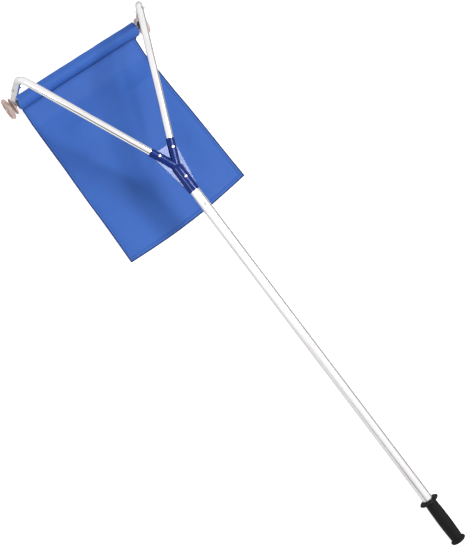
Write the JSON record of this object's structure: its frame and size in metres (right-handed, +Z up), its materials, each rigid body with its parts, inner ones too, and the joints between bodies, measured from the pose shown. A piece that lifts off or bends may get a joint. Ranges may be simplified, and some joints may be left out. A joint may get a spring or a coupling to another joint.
{
  "type": "roof snow rake",
  "caption": "Roof snow rake lying on its wheels: pole with rubber grip, Y connector, splayed bent arms, sleeved crossbar, side wheels and a loose cloth that snow slides down.",
  "frame": {"origin": "on the floor, under the centre of the bounding box of the rake lying on its wheels and the end flange of the grip", "axes": "+X across the head along the axle, +Y along the floor from the grip to the head, +Z up"},
  "size_m": [0.5234, 1.8536, 0.2318],
  "materials": {
    "aluminium_tube": "bright anodised, faint draw lines",
    "blue_coat": "high gloss blue coating",
    "steel": "zinc plated",
    "black_nylon": "moulded, matt",
    "wheel_plastic": "moulded, satin",
    "grip_rubber": "ribbed, matt",
    "blue_cloth": "coated woven nylon, slight sheen"
  },
  "bodies": {
    "frame": {"y_connector_top": "blue_coat", "y_connector_bottom": "blue_coat", "left_socket_screw": "steel", "left_socket_nut": "steel", "right_socket_screw": "steel", "right_socket_nut": "steel", "pole_socket_screw": "steel", "pole_socket_nut": "steel", "button_spring": "steel", "left_leg_bolt": "steel", "left_leg_nut": "steel", "right_leg_bolt": "steel", "right_leg_nut": "steel", "axle_rod": "steel", "left_axle_washer": "steel", "left_axle_nut": "steel", "right_axle_washer": "steel", "right_axle_nut": "steel", "neck_tube": "aluminium_tube", "pole_tube": "aluminium_tube", "left_arm": "aluminium_tube", "right_arm": "aluminium_tube", "left_leg": "aluminium_tube", "right_leg": "aluminium_tube", "crossbar_tube": "aluminium_tube", "left_crossbar_plug": "black_nylon", "left_wheel_bushing": "black_nylon", "right_crossbar_plug": "black_nylon", "right_wheel_bushing": "black_nylon", "grip": "grip_rubber", "slide_cloth": "blue_cloth"},
    "left_wheel_body": {"left_wheel": "wheel_plastic"},
    "right_wheel_body": {"right_wheel": "wheel_plastic"},
    "button": {"snap_button": "steel"}
  },
  "joints": [
    {"name": "left_wheel_spin", "type": "hinge", "parent": "frame", "child": "left_wheel_body", "pos_m": [-0.246, 0.89286, 0.034], "axis": [1, 0, 0], "continuous": true},
    {"name": "right_wheel_spin", "type": "hinge", "parent": "frame", "child": "right_wheel_body", "pos_m": [0.246, 0.89286, 0.034], "axis": [1, 0, 0], "continuous": true},
    {"name": "snap_button_press", "type": "slide", "parent": "frame", "child": "button", "axis": [0, 0.1106, -0.9939], "range_m": [0, 0.0055], "stiffness_N_per_m": 500, "springref_m": -0.004}
  ]
}
